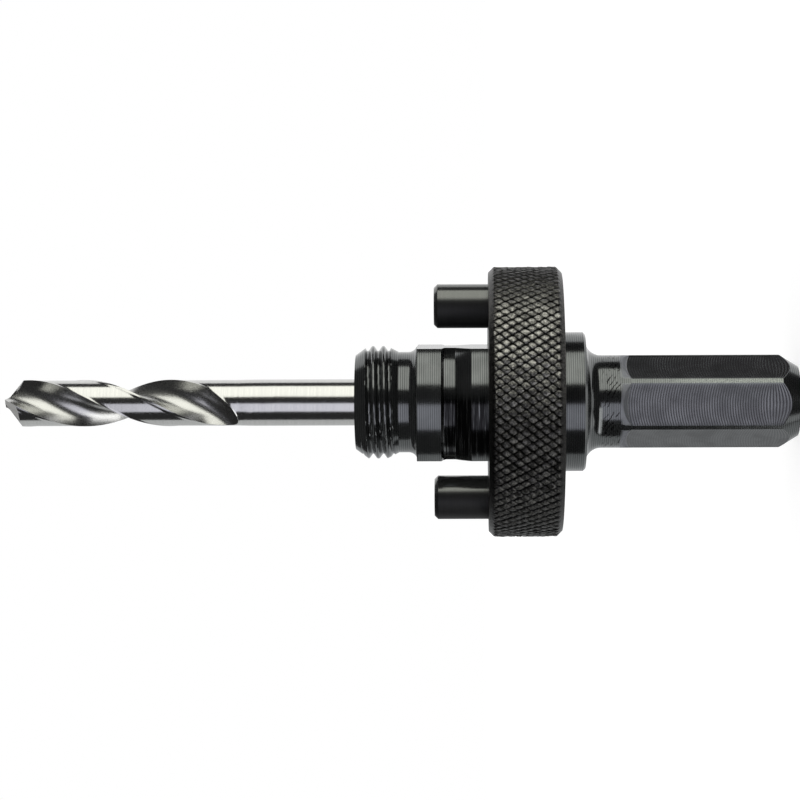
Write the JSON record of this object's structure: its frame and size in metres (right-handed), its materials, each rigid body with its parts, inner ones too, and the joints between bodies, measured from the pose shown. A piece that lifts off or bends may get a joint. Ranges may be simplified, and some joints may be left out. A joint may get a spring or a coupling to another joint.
{
  "type": "hole saw arbor",
  "caption": "Quick-release arbor for pin-driven hole saws: hexagonal shank, sliding knurled collar with drive pins, threaded nose and twist pilot drill.",
  "frame": {"origin": "centre of the flat end face of the hexagonal shank, on which the arbor stands", "axes": "+Z along the axis towards the tip of the pilot drill; both drive pins lie on the X axis; one flat of the hexagonal shank faces -Y"},
  "size_m": [0.037, 0.037, 0.1085],
  "materials": {
    "oxide_steel": "machined, black oxide, polished by handling",
    "collar_steel": "diamond knurl, black oxide",
    "drill_steel": "bright ground",
    "pin_steel": "ground, black oxide",
    "screw_steel": "black oxide",
    "ball_steel": "polished"
  },
  "bodies": {
    "arbor": {"arbor_body": "oxide_steel", "pilot_drill": "drill_steel", "pilot_set_screw": "screw_steel"},
    "collar": {"drive_collar": "collar_steel", "drive_pin_upper": "pin_steel", "drive_pin_lower": "pin_steel", "detent_ball": "ball_steel", "detent_spring": "ball_steel", "detent_plug": "screw_steel"}
  },
  "joints": [
    {"name": "collar_slide", "type": "slide", "parent": "arbor", "child": "collar", "axis": [0, 0, 1], "range_m": [0, 0.0097]}
  ]
}
